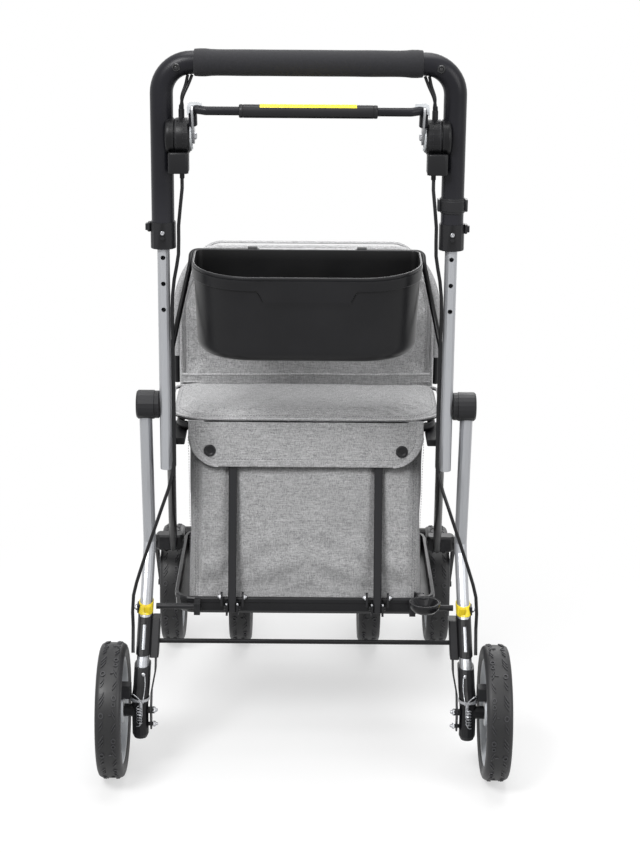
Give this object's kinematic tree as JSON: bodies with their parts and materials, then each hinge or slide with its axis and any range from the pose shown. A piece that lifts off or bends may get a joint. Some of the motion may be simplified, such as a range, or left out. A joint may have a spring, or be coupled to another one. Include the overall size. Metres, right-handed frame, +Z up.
{
  "type": "shopping rollator",
  "caption": "Folding shopping rollator with a padded seat over a fabric bag, a lift-out bin, a height-adjusting handle, a squeeze brake bar and wheels on fixed forks.",
  "frame": {"origin": "on the ground, under the middle of the bounding box", "axes": "+X to the user's right, +Y away from the user along the direction of travel, +Z up"},
  "size_m": [0.593, 0.71, 1.045],
  "materials": {
    "black_plastic": "matte moulded, fine grain",
    "satin_plastic": "satin moulded",
    "foam": "closed-cell foam, matte",
    "black_coat": "satin powder coat",
    "silver_tube": "satin anodised",
    "bright_steel": "bright zinc",
    "light_grey_plastic": "matte moulded",
    "yellow_plastic": "semi-gloss moulded",
    "rubber": "matte moulded rubber",
    "grey_cloth": "woven heather polyester"
  },
  "bodies": {
    "frame": {"column_left": "silver_tube", "column_right": "silver_tube", "front_leg_left": "black_coat", "front_leg_right": "black_coat", "fold_pivot_left": "black_plastic", "fold_pivot_right": "black_plastic", "front_fork_left": "black_plastic", "front_fork_right": "black_plastic", "cross_tube": "black_coat", "base_tray": "satin_plastic", "seat_strut_left": "black_coat", "seat_strut_right": "black_coat", "seat_tube": "black_coat", "bag_lower": "grey_cloth", "bag_upper": "grey_cloth", "back_hoop": "black_coat", "bin_rail": "black_coat"},
    "handle": {"handle_tube": "black_plastic", "handle_grip": "foam", "height_collar_left": "black_plastic", "height_collar_right": "black_plastic", "brake_housing_left": "black_plastic", "brake_housing_right": "black_plastic", "housing_cover_left": "light_grey_plastic", "housing_cover_right": "light_grey_plastic", "brake_cable_left": "black_plastic", "brake_cable_right": "black_plastic", "cable_loop_left": "black_plastic", "cable_loop_right": "black_plastic"},
    "button_body_left": {"height_button_left": "black_plastic"},
    "button_body_right": {"height_button_right": "black_plastic"},
    "brake_lever": {"brake_bar": "black_plastic", "brake_bar_sleeve": "satin_plastic"},
    "rear_frame": {"rear_leg_left": "silver_tube", "rear_leg_right": "silver_tube", "hinge_knob_left": "black_plastic", "hinge_knob_right": "black_plastic", "latch_collar_left": "yellow_plastic", "latch_collar_right": "yellow_plastic", "knuckle_left": "black_plastic", "knuckle_right": "black_plastic", "cross_link": "black_coat", "brake_spring_left": "bright_steel", "brake_spring_right": "bright_steel"},
    "shoe_body_left": {"brake_shoe_left": "black_plastic"},
    "shoe_body_right": {"brake_shoe_right": "black_plastic"},
    "seat": {"seat_lid": "grey_cloth", "seat_flap": "grey_cloth"},
    "bin_body": {"bin": "satin_plastic"},
    "pedal": {"fold_pedal": "black_plastic"},
    "spin_rear_wheel_left": {"rear_wheel_left_tyre": "rubber", "rear_wheel_left_rim": "light_grey_plastic"},
    "spin_rear_wheel_right": {"rear_wheel_right_tyre": "rubber", "rear_wheel_right_rim": "light_grey_plastic"},
    "spin_front_wheel_left": {"front_wheel_left_tyre": "rubber", "front_wheel_left_rim": "light_grey_plastic"},
    "spin_front_wheel_right": {"front_wheel_right_tyre": "rubber", "front_wheel_right_rim": "light_grey_plastic"},
    "spin_inner_wheel_left": {"inner_wheel_left": "rubber"},
    "spin_inner_wheel_right": {"inner_wheel_right": "rubber"}
  },
  "joints": [
    {"name": "handle_height", "type": "slide", "parent": "frame", "child": "handle", "axis": [0, 0, 1], "range_m": [-0.1125, 0.0375], "deforming": ["brake_cable_left", "brake_cable_right"]},
    {"name": "brake_lever", "type": "hinge", "parent": "handle", "child": "brake_lever", "pos_m": [0, -0.165, 0.926], "axis": [1, 0, 0], "range_deg": [-18, 0], "stiffness_Nm_per_rad": 2, "springref_deg": 8.59},
    {"name": "rear_fold", "type": "hinge", "parent": "frame", "child": "rear_frame", "pos_m": [0, -0.156, 0.536], "axis": [1, 0, 0], "range_deg": [0, 25], "deforming": ["brake_cable_left", "brake_cable_right"]},
    {"name": "seat_lid", "type": "hinge", "parent": "frame", "child": "seat", "pos_m": [0, 0.08, 0.509], "axis": [-1, 0, 0], "range_deg": [0, 28]},
    {"name": "bin_lift", "type": "slide", "parent": "frame", "child": "bin_body", "axis": [0, 0, 1], "range_m": [0, 0.1]},
    {"name": "fold_pedal", "type": "hinge", "parent": "frame", "child": "pedal", "pos_m": [0, -0.149, 0.241], "axis": [1, 0, 0], "range_deg": [0, 5], "stiffness_Nm_per_rad": 1, "springref_deg": -5.73},
    {"name": "height_button_left", "type": "slide", "parent": "handle", "child": "button_body_left", "axis": [1, 0, 0], "range_m": [0, 0.002], "stiffness_N_per_m": 800, "springref_m": -0.001},
    {"name": "brake_shoe_left", "type": "slide", "parent": "rear_frame", "child": "shoe_body_left", "axis": [0, 0, 1], "range_m": [-0.0013, 0]},
    {"name": "rear_wheel_left", "type": "hinge", "parent": "rear_frame", "child": "spin_rear_wheel_left", "pos_m": [-0.278, -0.255, 0.1], "axis": [1, 0, 0], "continuous": true},
    {"name": "front_wheel_left", "type": "hinge", "parent": "frame", "child": "spin_front_wheel_left", "pos_m": [-0.222, 0.255, 0.1], "axis": [1, 0, 0], "continuous": true},
    {"name": "inner_wheel_left", "type": "hinge", "parent": "frame", "child": "spin_inner_wheel_left", "pos_m": [-0.108, 0.255, 0.1], "axis": [1, 0, 0], "continuous": true},
    {"name": "height_button_right", "type": "slide", "parent": "handle", "child": "button_body_right", "axis": [-1, 0, 0], "range_m": [0, 0.002], "stiffness_N_per_m": 800, "springref_m": -0.001},
    {"name": "brake_shoe_right", "type": "slide", "parent": "rear_frame", "child": "shoe_body_right", "axis": [0, 0, 1], "range_m": [-0.0013, 0]},
    {"name": "rear_wheel_right", "type": "hinge", "parent": "rear_frame", "child": "spin_rear_wheel_right", "pos_m": [0.278, -0.255, 0.1], "axis": [1, 0, 0], "continuous": true},
    {"name": "front_wheel_right", "type": "hinge", "parent": "frame", "child": "spin_front_wheel_right", "pos_m": [0.222, 0.255, 0.1], "axis": [1, 0, 0], "continuous": true},
    {"name": "inner_wheel_right", "type": "hinge", "parent": "frame", "child": "spin_inner_wheel_right", "pos_m": [0.108, 0.255, 0.1], "axis": [1, 0, 0], "continuous": true}
  ],
  "couplings": [
    {"joint": "brake_shoe_left", "follows": "brake_lever", "m_per_rad": 0.0041},
    {"joint": "brake_shoe_right", "follows": "brake_lever", "m_per_rad": 0.0041}
  ]
}
